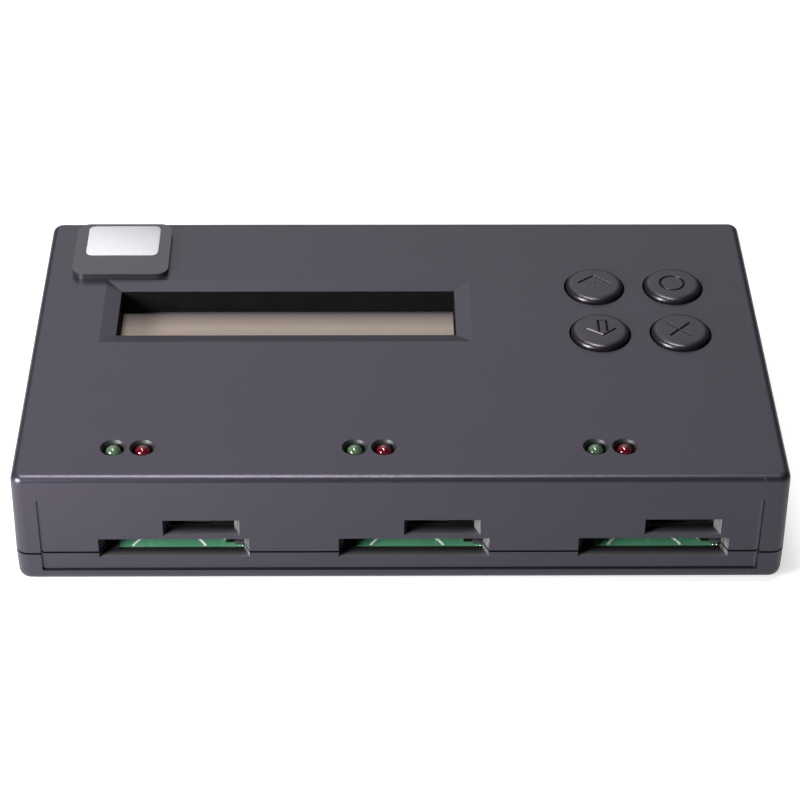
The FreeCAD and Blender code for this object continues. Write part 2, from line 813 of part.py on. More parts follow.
def make_feet():
    """Square pads that sit in shallow recesses of the bottom shell."""
    height = "foot_height + foot_recess"
    group("rubber_feet", [block(f"foot{index}", x, y, "0", "foot_width", "foot_width", height)
                          for index, (x, y) in enumerate(foot_places())])


# Buttons and switches

def make_button(name):
    """A round cap on an eight-sided flange that retains it, with a stem that bears on the plunger."""
    x, y = button_place(name)
    flange_base = f"({STEM_BASE} + stem_length)"
    flange_top = f"({flange_base} + button_flange)"
    bevel_base = f"({TOP} + button_rise - button_edge)"
    stem = prism(f"{name}_stem", x, y, STEM_BASE, "stem_radius", "stem_length + button_flange / 2")
    flange = prism(f"{name}_flange", x, y, flange_base, "button_flange_radius", "button_flange")
    cap = rod(f"{name}_cap", x, y, flange_top, "button_radius", f"{bevel_base} - {flange_top}")
    bevel = cone(f"{name}_bevel", x, y, bevel_base,
                 "button_radius", "button_radius - button_edge", "button_edge")
    node(joined(name, [stem, flange, cap, bevel]), name)


def make_plunger(name):
    x, y = button_place(name)
    label = name.replace("button", "plunger")
    base = f"{SWITCH_TOP} - plunger_depth"
    node(prism(label, x, y, base, "plunger_radius", "plunger_depth + plunger_rise"), label)


def make_switch(name):
    """The switch's square body, with the well that its plunger moves in."""
    x, y = button_place(name)
    label = name.replace("button", "switch")
    body = block(f"{label}_body", x, y, BUTTON_BOARD_TOP, "switch_width", "switch_width", "switch_height")
    well_depth = "(plunger_depth + button_travel + plunger_spare)"
    well = prism(f"{label}_well", x, y, f"{SWITCH_TOP} - {well_depth}", "plunger_radius + plunger_gap",
                 f"{well_depth} + cut_spare")
    node(cut(label, body, [well]), label)


# Boards

def make_board(label, x, width, front, rear, base, holes):
    plate = block(f"{label}_plate", x, f"(({front}) + ({rear})) / 2", base, width, f"({rear}) - ({front})",
                  "board_thickness")
    drills = prisms(f"{label}_drill", holes, f"{base} - cut_spare", "board_screw_radius + thread_gap",
                    "board_thickness + 2 * cut_spare")
    node(cut(label, plate, drills), label)


def make_boards():
    make_board("main_board", "0", f"2 * {MAIN_BOARD_SIDE}", f"{FRONT} + main_board_front",
               f"{INNER_REAR} - main_board_rear_gap", MAIN_BOARD_BASE,
               card_post_places() + board_screw_places())
    make_board("card_board", "0", f"2 * ({MAIN_BOARD_SIDE} - card_board_side)",
               f"{FRONT} + card_board_front", CARD_BOARD_REAR, CARD_BOARD_BASE, card_post_places())
    make_board("display_board", "window_x", "display_board_width", f"{WINDOW_Y} - display_board_height / 2",
               f"{WINDOW_Y} + display_board_height / 2", DISPLAY_BOARD_BASE, display_hole_places())
    make_board("button_board", "button_x", "button_board_width", f"{BUTTON_Y} - button_board_depth / 2",
               f"{BUTTON_Y} + button_board_depth / 2", BUTTON_BOARD_BASE, button_post_places())


# Display module

def make_bezel():
    """A folded metal frame: a cup over the glass with the window cut in its face."""
    place_in_plan = ("window_x", WINDOW_Y)
    outside = block("bezel_outside", *place_in_plan, DISPLAY_BOARD_TOP, "bezel_width", "bezel_height",
                    "display_frame")
    inside = block("bezel_inside", *place_in_plan, f"{DISPLAY_BOARD_TOP} - cut_spare",
                   "bezel_width - 2 * bezel_metal", "bezel_height - 2 * bezel_metal",
                   "display_frame - bezel_metal + cut_spare")
    window = block("bezel_window", *place_in_plan, f"{GLASS_TOP} - cut_spare",
                   "window_width + 2 * bezel_margin", "window_height + 2 * bezel_margin",
                   "bezel_metal + 2 * cut_spare")
    node(cut("display_bezel", outside, [inside, window]), "display_bezel")


def make_display():
    make_bezel()
    inner_width = "bezel_width - 2 * bezel_metal - glass_margin"
    inner_height = "bezel_height - 2 * bezel_metal - glass_margin"
    glass_base = f"({GLASS_TOP} - glass_thickness)"
    glass = block("display_glass", "window_x", WINDOW_Y, glass_base, inner_width, inner_height,
                  "glass_thickness")
    node(glass, "display_glass")
    light = block("display_backlight", "window_x", WINDOW_Y, DISPLAY_BOARD_TOP, inner_width, inner_height,
                  f"{glass_base} - {DISPLAY_BOARD_TOP}")
    node(light, "display_backlight")


# Card sockets

def socket_levels(kind):
    """Half the width of the bay, half the width over the arms, and the top of the bay."""
    bay_side = f"({kind}_card_width / 2 + card_gap)"
    bay_height = f"({kind}_card_thickness + contact_rise + card_gap)"
    return bay_side, f"({bay_side} + {kind}_socket_arm)", f"({kind}_socket_floor + {bay_height})"


def socket_place(kind, port):
    offset = "0" if kind == "sd" else "microsd_offset"
    base = MAIN_BOARD_TOP if kind == "sd" else CARD_BOARD_TOP
    return port_x(port, offset), f"{FRONT} + {kind}_socket_front", base


def make_socket_base(kind, port):
    """The moulding: a floor, two arms that guide the card and a back wall."""
    bay_side, side, bay_top = socket_levels(kind)
    label = f"{kind}_socket_base_{port + 2}"
    x, front, base = socket_place(kind, port)
    depth = f"{kind}_socket_depth"
    bay_depth = f"({depth} - {kind}_socket_back + cut_spare)"
    body = block(f"{label}_body", x, f"{front} + {depth} / 2", base, f"2 * {side}", depth, bay_top)
    bay = block(f"{label}_bay", x, f"{front} - cut_spare + {bay_depth} / 2", f"{base} + {kind}_socket_floor",
                f"2 * {bay_side}", bay_depth, f"{bay_top} - {kind}_socket_floor + cut_spare")
    node(cut(label, body, [bay]), label)


def make_socket_cover(kind, port):
    """The folded cover, with a lip that reaches forward under the card's way on the right."""
    bay_side, side, bay_top = socket_levels(kind)
    label = f"{kind}_socket_cover_{port + 2}"
    body = new_body(label, *socket_place(kind, port))
    outside = f"({side} + cover_metal)"
    top = f"({bay_top} + cover_metal)"
    profile = new_sketch(body, "XZ_Plane", "cover_setback")
    polygon(profile, [
        (f"-{outside}", "cover_lift"), (f"-{side}", "cover_lift"), (f"-{side}", bay_top), (side, bay_top),
        (side, "cover_lift"), (outside, "cover_lift"), (outside, top), (f"-{outside}", top),
    ])
    pad(body, profile, f"{kind}_socket_depth - 2 * cover_setback", backward=True)
    windows = new_sketch(body, "XY_Plane", top)
    for hand in SIDES:
        centred(windows, f"{hand} * {bay_side} / 2", f"{kind}_socket_depth / 2", f"{bay_side} / 3",
                f"{kind}_socket_depth / 4")
    pocket(body, windows, "cover_metal")

    lip_base = f"({kind}_socket_floor - cover_metal)"
    lip_front = f"-{kind}_lip_reach"
    cheek = new_sketch(body, "XY_Plane", lip_base)
    rectangle(cheek, side, outside, lip_front, "2 * cover_setback")
    pad(body, cheek, f"{top} - {lip_base}")
    lip = new_sketch(body, "XY_Plane", lip_base)
    rectangle(lip, f"{bay_side} - {kind}_lip_width", outside, lip_front, "0")
    pad(body, lip, "cover_metal")
    node(body, label)


def make_contacts(kind, count):
    """Flat springs on the floor of each socket, in rows from the back wall."""
    length = f"{kind}_contact_length"
    springs = []
    for port in PORTS:
        x, front, base = socket_place(kind, port)
        y = f"{front} + {kind}_socket_depth - {kind}_socket_back - {length} / 2"
        for step in range(count):
            offset = f"({step} - {(count - 1) / 2}) * {kind}_contact_pitch"
            springs.append(block(f"{kind}_contact{port + 2}_{step}", f"({x} + {offset})", y,
                                 f"{base} + {kind}_socket_floor", f"{kind}_contact_width", length,
                                 "contact_rise"))
    group(f"{kind}_contacts", springs)


def make_led(colour, port):
    """A barrel under the shell and a round nose that narrows to its tip."""
    label = f"{colour}_led_{port + 2}"
    x = port_x(port, f"{colour}_led_offset")
    barrel = prism(f"{label}_barrel", x, LED_Y, LED_BASE, "led_radius", "led_length - led_nose")
    nose = cone(f"{label}_nose", x, LED_Y, f"{LED_TOP} - led_nose",
                "led_radius", "led_tip_radius", "led_nose")
    node(joined(label, [barrel, nose]), label)


def make_leads():
    leads = []
    for port in PORTS:
        for colour in ("green", "red"):
            for side in SIDES:
                x = f"({port_x(port, f'{colour}_led_offset')} + {side} * lead_pitch / 2)"
                leads.append(block(f"lead{len(leads)}", x, LED_Y, CARD_BOARD_TOP, "lead_size", "lead_size",
                                   f"{LED_BASE} - {CARD_BOARD_TOP}"))
    group("led_leads", leads)


# Power jack, headers and small parts

def make_jack():
    """A moulded block with a deep bore that opens at the rear."""
    body = block("jack_body", "jack_x", f"{JACK_FACE} - jack_depth / 2", MAIN_BOARD_TOP,
                 "jack_width", "jack_depth", "jack_height")
    bore = rod("jack_bore", "jack_x", f"{JACK_FACE} - jack_bore_depth", JACK_Z, "jack_bore_radius",
               "jack_bore_depth + cut_spare")
    bore.Placement.Rotation = TO_REAR
    node(cut("power_jack", body, [bore]), "power_jack")


def make_jack_pin():
    pin = rod("power_jack_pin", "jack_x", f"{JACK_FACE} - jack_bore_depth", JACK_Z, "jack_pin_radius",
              "jack_bore_depth - jack_pin_recess")
    pin.Placement.Rotation = TO_REAR
    node(pin, "power_jack_pin")


def make_header(label, x, y, pins, top):
    """A moulded strip on the main board, with a row of square pins up to the board above."""
    strip = block(f"{label}_strip", x, y, MAIN_BOARD_TOP, f"{pins} * header_pitch",
                  "header_width", "header_height")
    steps = [f"({step} - {(pins - 1) / 2}) * header_pitch" for step in range(pins)]
    pieces = [block(f"{label}_pin{index}", f"({x} + {step})", y, MAIN_BOARD_TOP, "header_pin", "header_pin",
                    f"{top} - {MAIN_BOARD_TOP}") for index, step in enumerate(steps)]
    node(joined(label, [strip] + pieces), label)


def make_headers():
    make_header("display_header", "window_x",
                f"{WINDOW_Y} + display_board_height / 2 - display_header_inset",
                DISPLAY_PINS, DISPLAY_BOARD_BASE)
    make_header("card_header", "port_middle - port_pitch / 2", f"{CARD_BOARD_REAR} - card_header_inset",
                CARD_PINS, CARD_BOARD_BASE)
    make_header("button_header", "button_x", BUTTON_Y, BUTTON_PINS, BUTTON_BOARD_BASE)


def make_small_parts():
    for part, label in (("controller", "controller_chip"), ("memory", "memory_chip"), ("crystal", "crystal"),
                        ("regulator", "regulator"), ("inductor", "inductor")):
        item = block(label, f"{part}_x", f"{REAR} - {part}_to_rear", MAIN_BOARD_TOP,
                     f"{part}_width", f"{part}_depth", f"{part}_height")
        node(item, label)
    group("capacitors", [prism(f"capacitor{step}", f"capacitor_x + {step} * capacitor_pitch",
                               f"{REAR} - capacitor_to_rear", MAIN_BOARD_TOP, "capacitor_radius",
                               "capacitor_height")
                         for step in (0, 1)])


def make_spacers():
    """Tubes that carry the card board above the main board."""
    height = f"({CARD_BOARD_BASE} - {MAIN_BOARD_TOP})"
    tubes = []
    for index, (x, y) in enumerate(card_post_places()):
        outside = prism(f"spacer_outside{index}", x, y, MAIN_BOARD_TOP, "spacer_radius", height)
        bore = prism(f"spacer_bore{index}", x, y, f"{MAIN_BOARD_TOP} - cut_spare",
                     "board_screw_radius + thread_gap", f"{height} + 2 * cut_spare")
        tubes.append(cut(f"spacer{index}", outside, [bore]))
    group("board_spacers", tubes)


def make_screws():
    group("case_screws", [case_screw(f"case_screw{index}", x, y)
                          for index, (x, y) in enumerate(boss_places())])
    short = "board_thickness + board_screw_bite"
    long = f"{CARD_BOARD_TOP} - {MAIN_BOARD_BASE} + board_screw_bite"
    board_screws = [(x, y, MAIN_BOARD_TOP, short, False) for x, y in board_screw_places()]
    board_screws += [(x, y, DISPLAY_BOARD_BASE, short, True) for x, y in display_hole_places()]
    board_screws += [(x, y, BUTTON_BOARD_BASE, short, True) for x, y in button_post_places()]
    card_board_screws = [(x, y, CARD_BOARD_TOP, long, False) for x, y in card_post_places()]
    for label, places in (("board_screws", board_screws), ("card_board_screws", card_board_screws)):
        group(label, [board_screw(f"{label}{index}", *screw_place)
                      for index, screw_place in enumerate(places)])


def check_and_export():
    """Stop on any failed object, idle cut or bad solid, then write one file for each node."""
    for item in doc.Objects:
        if "Invalid" in item.State or "Error" in item.State:
            raise RuntimeError(f"{item.Label} failed")
        if item.TypeId in ("PartDesign::Pocket", "PartDesign::SubtractiveLoft"):
            if item.BaseFeature.Shape.Volume - item.Shape.Volume < LEAST_CUT:
                raise RuntimeError(f"{item.Label} cuts nothing")
        if item.TypeId == "Part::Cut":
            for tool in item.Tool.Links:
                if item.Base.Shape.common(tool.Shape).Volume < LEAST_CUT:
                    raise RuntimeError(f"{tool.Label} cuts nothing")
    os.makedirs("parts", exist_ok=True)
    for item in nodes:
        if item.Shape.isNull() or not item.Shape.isValid():
            raise RuntimeError(f"{item.Label} has no valid shape")
    for item in nodes:
        item.Shape.exportStep(f"parts/{item.Label}.step")


fill_sheet()
make_top_shell()
make_bottom_shell()
make_plate()
make_feet()
make_boards()
make_display()
for button in BUTTONS:
    make_button(button)
    make_plunger(button)
    make_switch(button)
for port in PORTS:
    for kind in ("sd", "microsd"):
        make_socket_base(kind, port)
        make_socket_cover(kind, port)
    for colour in ("green", "red"):
        make_led(colour, port)
make_contacts("sd", SD_CONTACTS)
make_contacts("microsd", MICROSD_CONTACTS)
make_leads()
make_jack()
make_jack_pin()
make_headers()
make_small_parts()
make_spacers()
make_screws()
doc.recompute()
check_and_export()
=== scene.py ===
import json
import math

import bmesh
import bpy
from mathutils import Matrix, Vector


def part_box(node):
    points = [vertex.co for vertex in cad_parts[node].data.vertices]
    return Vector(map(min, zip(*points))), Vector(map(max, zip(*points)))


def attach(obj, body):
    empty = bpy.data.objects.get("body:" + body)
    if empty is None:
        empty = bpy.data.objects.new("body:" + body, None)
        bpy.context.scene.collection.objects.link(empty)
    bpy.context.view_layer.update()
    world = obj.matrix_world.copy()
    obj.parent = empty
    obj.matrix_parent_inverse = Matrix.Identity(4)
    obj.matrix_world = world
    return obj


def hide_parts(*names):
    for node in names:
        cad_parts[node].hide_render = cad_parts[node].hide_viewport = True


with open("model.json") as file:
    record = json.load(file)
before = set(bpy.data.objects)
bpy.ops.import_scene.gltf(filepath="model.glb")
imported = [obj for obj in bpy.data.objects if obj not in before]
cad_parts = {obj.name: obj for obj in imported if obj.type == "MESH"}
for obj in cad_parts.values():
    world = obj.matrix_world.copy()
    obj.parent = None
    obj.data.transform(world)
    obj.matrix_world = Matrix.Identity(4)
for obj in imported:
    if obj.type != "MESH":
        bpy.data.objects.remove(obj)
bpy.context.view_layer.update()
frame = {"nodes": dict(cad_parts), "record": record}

# The drawing of the part is in millimetres, and the scene is in metres
MM = 0.001

# Middle of each card port along X
PORT_MIDDLES = {1: -41.3, 2: 2.45, 3: 46.2}


def place_of(name):
    """Lowest and highest corner of a CAD node, in millimetres."""
    low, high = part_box(name)
    return low / MM, high / MM


def middle_of(low, high):
    """Middle of a box, seen from above."""
    return (low.x + high.x) / 2, (low.y + high.y) / 2


# Node trees

# Places of the colour sockets of a Mix node, whose names aren't unique
MIX_FIRST, MIX_SECOND, MIX_RESULT = 6, 7, 2


class Wiring:
    """A node tree, with the steps that the materials and the world share."""

    def __init__(self, tree):
        self.nodes = tree.nodes
        self.links = tree.links

    def feed(self, socket, value):
        """Links a socket to an output, or sets its colour or number."""
        if isinstance(value, bpy.types.NodeSocket):
            self.links.new(value, socket)
        elif socket.type == "RGBA":
            socket.default_value = (*value, 1.0)
        else:
            socket.default_value = value

    def set(self, node, values):
        """Feeds the inputs of a node, by their names."""
        for name, value in values.items():
            self.feed(node.inputs[name], value)

    def add(self, kind, values):
        """A new node with its inputs fed."""
        node = self.nodes.new(kind)
        self.set(node, values)
        return node

    def calculate(self, operation, *values):
        """Result of one operation of a Math node."""
        node = self.nodes.new("ShaderNodeMath")
        node.operation = operation
        for socket, value in zip(node.inputs, values):
            self.feed(socket, value)
        return node.outputs["Value"]

    def product(self, first, second):
        """Two grey values multiplied."""
        return self.calculate("MULTIPLY", first, second)

    def spread(self, source, low, high, start=0.3, end=0.7):
        """Maps a grey value between start and end to the range from low to high."""
        return self.add("ShaderNodeMapRange", {
            "Value": source, "From Min": start, "From Max": end, "To Min": low, "To Max": high,
        }).outputs["Result"]

    def band(self, source, limits, soft):
        """1 where a coordinate lies between two limits, and 0 outside them, in millimetres."""
        low, high = (limit * MM for limit in limits)
        soft *= MM
        above = self.spread(source, 0.0, 1.0, low - soft, low + soft)
        below = self.spread(source, 1.0, 0.0, high - soft, high + soft)
        return self.product(above, below)

    def blend(self, factor, first, second):
        """Goes from the first colour to the second as the factor goes from 0 to 1."""
        mix = self.nodes.new("ShaderNodeMix")
        mix.data_type = "RGBA"
        self.feed(mix.inputs["Factor"], factor)
        self.feed(mix.inputs[MIX_FIRST], first)
        self.feed(mix.inputs[MIX_SECOND], second)
        return mix.outputs[MIX_RESULT]

    def coordinates(self):
        """Place in the piece's own space."""
        return self.nodes.new("ShaderNodeTexCoord").outputs["Object"]

    def axes(self, vector):
        """X, Y and Z of a vector."""
        split = self.add("ShaderNodeSeparateXYZ", {"Vector": vector})
        return [split.outputs[axis] for axis in "XYZ"]

    def facing(self):
        """X, Y and Z of the direction in which the surface faces."""
        return self.axes(self.nodes.new("ShaderNodeNewGeometry").outputs["True Normal"])

    def noise(self, scale, detail=3.0, rough=0.55, stretch=None):
        """Noise in the piece's own space; the scale is in features per metre."""
        place = self.coordinates()
        if stretch is not None:
            mapping = self.add("ShaderNodeMapping", {"Vector": place, "Scale": stretch})
            place = mapping.outputs["Vector"]
        return self.add("ShaderNodeTexNoise", {
            "Vector": place, "Scale": scale, "Detail": detail, "Roughness": rough,
        }).outputs["Fac"]

    def bump(self, shader, height, strength, distance):
        """Gives a shader a relief; the distance is in metres."""
        relief = self.add("ShaderNodeBump", {
            "Strength": strength, "Distance": distance, "Height": height,
        })
        self.feed(shader.inputs["Normal"], relief.outputs["Normal"])

    def seen(self):
        """1 for what the camera sees, also through clear pieces, and 0 for all other rays."""
        path = self.nodes.new("ShaderNodeLightPath")
        return self.calculate("MAXIMUM", path.outputs["Is Camera Ray"],
                              path.outputs["Is Transmission Ray"])


# Materials

MATERIALS = {}

# Where the shells get painted light and shade, in millimetres: in the mouths of the slots, on the
# edge round the front panel, in the panel's right-hand groove and in the seam between the shells
MOUTH_DEPTH = (-41.25, -38.7)
MOUTH_ROW = (-61.0, 61.0)
SILL_HEIGHT = (4.0, 12.0)
WALL_HEIGHT = (5.0, 16.0)
# Where the sills' painted light fades to painted shade, along Y
SILL_SHADE_FADE = (-41.3, -39.3)
REBATE_DEPTH = (-41.75, -41.3)
PANEL_GROOVE_DEPTH = (-41.32, -40.9)
PANEL_GROOVE_SIDES = (64.85, 65.4)
SEAM_HEIGHT = (7.57, 8.0)

# Painted light on the sills at the slots' mouths, fading to painted shade further in
SILL_PAINTED_LIGHT = (0.1, 0.095, 0.104)
SILL_PAINTED_SHADE = (0.014, 0.013, 0.015)
# A painted glint, broken into streaks, on the walls in the mouths that face the light
WALL_PAINTED_GLINT = (0.19, 0.186, 0.186)
# Painted light on the left-facing wall of the edge round the front panel
REBATE_PAINTED_LIGHT = (0.034, 0.031, 0.037)
# Painted light in the panel's right-hand groove
PANEL_GROOVE_PAINTED_LIGHT = (0.03, 0.027, 0.033)
# Painted shade in the seam between the shells, whose gloss is lowered there too
SEAM_PAINTED_SHADE = (0.003, 0.003, 0.003)
SEAM_GLOSS = 0.05
USUAL_GLOSS = 0.5

# How far a normal has to lie along an axis for its surface to count as facing that way
FACING = (0.6, 0.8)

MASK_LOW, MASK_HIGH = (0.07, 0.25, 0.142), (0.088, 0.285, 0.165)
TRACE_COLOUR = (0.12, 0.35, 0.215)
TRACE_SHARE = 0.55
# Painted shade on the board's cut edges
BOARD_EDGE_PAINTED_SHADE = (0.02, 0.022, 0.014)

METAL_SHADE = 0.86
METAL_ROUGH_SPREAD = 0.08
ROLLING_STRETCH = (0.05, 1.0, 1.0)

# The display's colour runs from its own colour with painted light at its front edge to painted
# shade at its rear one
DISPLAY_DEPTH = (12.5, 17.6)
DISPLAY_REAR_PAINTED_SHADE = (0.135, 0.115, 0.125)
DISPLAY_FRONT_CRYSTAL_AND_PAINTED_LIGHT = (0.37, 0.303, 0.257)
CELL_COLOUR = (0.12, 0.1, 0.09)
CELL_SHARE = 0.015
CELL_WIDTH, CELL_HEIGHT, CELL_GAP = 3.55, 5.95, 0.3

LENS_SHADE = 0.8

# For each surface its colour, its roughness, and what differs from the usual for surface()
SURFACES = {
    "button_plastic": ((0.008, 0.0065, 0.0095), 0.32, {
        "contrast": 0.04, "mottle": 400.0, "grain": 3000.0, "bump": 0.04, "depth": 0.000004,
        "rough_spread": 0.02, "ior": 1.66, "gloss_tint": (0.95, 0.89, 1.0)}),
    "plate_plastic": ((0.018, 0.017, 0.022), 0.34, {
        "grain": 3000.0, "bump": 0.04, "depth": 0.000006, "ior": 1.8,
        "gloss_tint": (0.95, 0.92, 1.0)}),
    "light_field": ((0.5, 0.5, 0.53), 0.38, {"contrast": 0.02, "bump": 0.12, "depth": 0.00001}),
    "backlight_plastic": ((0.8, 0.8, 0.76), 0.5, {}),
    "bezel_metal": ((0.03, 0.03, 0.03), 0.38, {"grain": 3200.0, "bump": 0.3}),
    "socket_plastic": ((0.03, 0.03, 0.031), 0.42, {"grain": 3000.0}),
    "chip_plastic": ((0.04, 0.04, 0.045), 0.5, {"grain": 2400.0, "bump": 0.4}),
    "ferrite": ((0.12, 0.12, 0.13), 0.6, {"grain": 1800.0, "bump": 0.5}),
    "jack_plastic": ((0.03, 0.03, 0.032), 0.4, {"grain": 3000.0}),
    "header_plastic": ((0.04, 0.04, 0.04), 0.42, {"grain": 3000.0}),
    "switch_body": ((0.05, 0.05, 0.05), 0.45, {"grain": 3000.0}),
    "plunger_plastic": ((0.06, 0.06, 0.06), 0.4, {"grain": 3000.0}),
    "foot_rubber": ((0.035, 0.035, 0.035), 0.8, {
        "contrast": 0.12, "mottle": 500.0, "grain": 2000.0, "bump": 0.6, "depth": 0.00004}),
    "hole_plastic": ((0.012, 0.011, 0.014), 0.52, {
        "contrast": 0.05, "grain": 3400.0, "bump": 0.1, "ior": 1.6}),
    # Black foam of the window's lining, also used for the black strips of painted shade under the
    # microSD sockets
    "gasket_foam_and_painted_shade": ((0.005, 0.0045, 0.0045), 0.9, {
        "contrast": 0.2, "grain": 1800.0, "bump": 0.4, "ior": 1.15}),
    "print_white": ((0.8, 0.8, 0.78), 0.6, {"grain": 3000.0}),
    "floor": ((0.62, 0.62, 0.62), 0.8, {
        "contrast": 0.01, "mottle": 6.0, "grain": 120.0, "bump": 0.05}),
}

# Colour and roughness
METALS = {
    "cover_metal": ((0.55, 0.51, 0.44), 0.3),
    "contact_metal": ((0.83, 0.62, 0.3), 0.25),
    "tinned_wire": ((0.75, 0.75, 0.76), 0.2),
    "can_metal": ((0.78, 0.78, 0.8), 0.3),
    "screw_steel": ((0.25, 0.25, 0.26), 0.35),
    "spacer_brass": ((0.75, 0.6, 0.3), 0.3),
}

LENSES = {"green_lens": (0.11, 0.19, 0.105), "red_lens": (0.16, 0.001, 0.012)}


def new_material(name):
    """Adds a material to MATERIALS, and gives its node tree and its shader."""
    material = bpy.data.materials.new(name)
    material.use_nodes = True
    MATERIALS[name] = material
    paint = Wiring(material.node_tree)
    return paint, paint.nodes["Principled BSDF"]


def surface(name, colour, roughness, contrast=0.06, mottle=220.0, grain=2600.0, bump=0.25,
            depth=0.00002, rough_spread=0.06, ior=1.5, gloss_tint=(1.0, 1.0, 1.0)):
    """A surface with mottled colour, uneven gloss and a fine relief.

    The mottle and the grain are in features per metre, and the relief's depth is in metres.
    """
    paint, shader = new_material(name)
    low = [value * (1 - contrast) for value in colour]
    high = [min(value * (1 + contrast), 1.0) for value in colour]
    patches = paint.spread(paint.noise(mottle, 4.0), 0.0, 1.0)
    fine = paint.noise(grain, 2.0, 0.5)
    paint.set(shader, {
        "Base Color": paint.blend(patches, low, high),
        "Roughness": paint.spread(fine, roughness - rough_spread, roughness + rough_spread),
        "IOR": ior,
        "Specular Tint": gloss_tint,
    })
    paint.bump(shader, fine, bump, depth)
    return paint, shader


def shell_surface():
    """Satin moulding, with its colour changed by place.

    It has painted light on the sills in the slots' mouths that fades to painted shade further in,
    a painted glint in streaks on the walls there that face the light, painted light on the
    left-facing edge round the front panel and in the panel's right-hand groove, and painted shade
    in the seam between the shells.
    """
    paint, shader = surface(
        "shell_plastic", (0.0122, 0.0101, 0.0165), 0.34, contrast=0.05, mottle=90.0, grain=3400.0,
        bump=0.07, depth=0.00001, rough_spread=0.03, ior=1.68, gloss_tint=(0.88, 0.825, 1.0))
    x, y, z = paint.axes(paint.coordinates())
    facing_x, _, facing_z = paint.facing()
    upward = paint.spread(facing_z, 0.0, 1.0, FACING[0], FACING[1])
    leftward = paint.spread(facing_x, 1.0, 0.0, -FACING[1], -FACING[0])

    mouths = paint.product(paint.band(y, MOUTH_DEPTH, 0.02), paint.band(x, MOUTH_ROW, 0.1))
    # Painted light on the sills, fading to painted shade from the mouth inward
    sills = paint.product(paint.product(mouths, paint.band(z, SILL_HEIGHT, 0.1)), upward)
    # A painted glint in streaks on the walls in the mouths that face the light
    walls = paint.product(paint.product(mouths, paint.band(z, WALL_HEIGHT, 0.1)), leftward)
    streaks = paint.spread(paint.noise(900.0, 3.0, 0.6, (1.0, 1.0, 0.4)), 0.25, 1.0, 0.35, 0.6)
    inward = paint.spread(y, 0.0, 1.0, SILL_SHADE_FADE[0] * MM, SILL_SHADE_FADE[1] * MM)
    # Painted light on the left-facing wall of the edge round the front panel
    rebate = paint.product(paint.band(y, REBATE_DEPTH, 0.01), leftward)
    # Painted light in the panel's right-hand groove
    groove = paint.product(paint.band(y, PANEL_GROOVE_DEPTH, 0.01),
                           paint.band(x, PANEL_GROOVE_SIDES, 0.02))
    # Painted shade in the seam between the shells
    seam = paint.band(z, SEAM_HEIGHT, 0.03)

    colour = shader.inputs["Base Color"].links[0].from_socket
    for part, new_colour in (
            (sills, paint.blend(inward, SILL_PAINTED_LIGHT, SILL_PAINTED_SHADE)),
            (paint.product(walls, streaks), WALL_PAINTED_GLINT),
            (rebate, REBATE_PAINTED_LIGHT),
            (groove, PANEL_GROOVE_PAINTED_LIGHT),
            (seam, SEAM_PAINTED_SHADE)):
        colour = paint.blend(part, colour, new_colour)
    paint.set(shader, {
        "Base Color": colour,
        "Specular IOR Level": paint.spread(seam, USUAL_GLOSS, SEAM_GLOSS, 0.0, 1.0),
    })


def board_surface():
    """Solder mask with copper traces showing through it, and painted shade on the cut edges."""
    paint, shader = new_material("board_laminate")
    mottled = paint.spread(paint.noise(180.0), 0.0, 1.0)
    mask = paint.blend(mottled, MASK_LOW, MASK_HIGH)
    traces = paint.add("ShaderNodeTexBrick", {
        "Vector": paint.coordinates(), "Scale": 130.0, "Mortar Size": 0.035,
        "Mortar Smooth": 0.2, "Brick Width": 1.7, "Row Height": 0.42,
    }).outputs["Fac"]
    copper = paint.blend(traces, (0.0, 0.0, 0.0), TRACE_COLOUR)
    masked = paint.blend(paint.spread(traces, 0.0, TRACE_SHARE, 0.0, 1.0), mask, copper)
    # The upright cut edges get painted shade
    level = paint.calculate("ABSOLUTE", paint.facing()[2])
    flat = paint.spread(level, 0.0, 1.0, 0.5, 0.6)
    paint.set(shader, {
        "Base Color": paint.blend(flat, BOARD_EDGE_PAINTED_SHADE, masked),
        "Roughness": paint.spread(paint.noise(900.0), 0.28, 0.42),
    })
    paint.bump(shader, traces, 0.3, 0.00002)


def sheet_metal(name, colour, roughness):
    """Plated sheet metal with fine rolling lines along X."""
    paint, shader = new_material(name)
    lines = paint.noise(900.0, 3.0, 0.6, ROLLING_STRETCH)
    patches = paint.spread(paint.noise(260.0), 0.0, 1.0)
    shade = [value * METAL_SHADE for value in colour]
    paint.set(shader, {
        "Base Color": paint.blend(patches, shade, colour),
        "Roughness": paint.spread(lines, roughness - METAL_ROUGH_SPREAD,
                                  roughness + METAL_ROUGH_SPREAD),
        "Metallic": 1.0,
    })
    paint.bump(shader, lines, 0.15, 0.00001)


def display_surface():
    """Unlit liquid crystal under a clear polariser, with the faint grid of its character cells,
    and painted shade towards its rear edge.
    """
    paint, shader = new_material("display_glass")
    y = paint.axes(paint.coordinates())[1]
    to_front = paint.spread(y, 1.0, 0.0, DISPLAY_DEPTH[0] * MM, DISPLAY_DEPTH[1] * MM)
    cells = paint.add("ShaderNodeTexBrick", {
        "Vector": paint.coordinates(), "Scale": 1.0, "Mortar Size": CELL_GAP * MM,
        "Mortar Smooth": 0.3, "Brick Width": CELL_WIDTH * MM, "Row Height": CELL_HEIGHT * MM,
    })
    cells.offset = 0.0
    faint = paint.spread(cells.outputs["Fac"], 0.0, CELL_SHARE, 0.0, 1.0)
    # Painted shade at the rear, fading to the crystal's own colour with painted light at the front
    crystal = paint.blend(to_front, DISPLAY_REAR_PAINTED_SHADE, DISPLAY_FRONT_CRYSTAL_AND_PAINTED_LIGHT)
    paint.set(shader, {
        "Base Color": paint.blend(faint, crystal, CELL_COLOUR),
        "Roughness": paint.spread(paint.noise(300.0), 0.10, 0.16),
        "Coat Weight": 0.5,
        "Coat Roughness": 0.03,
    })


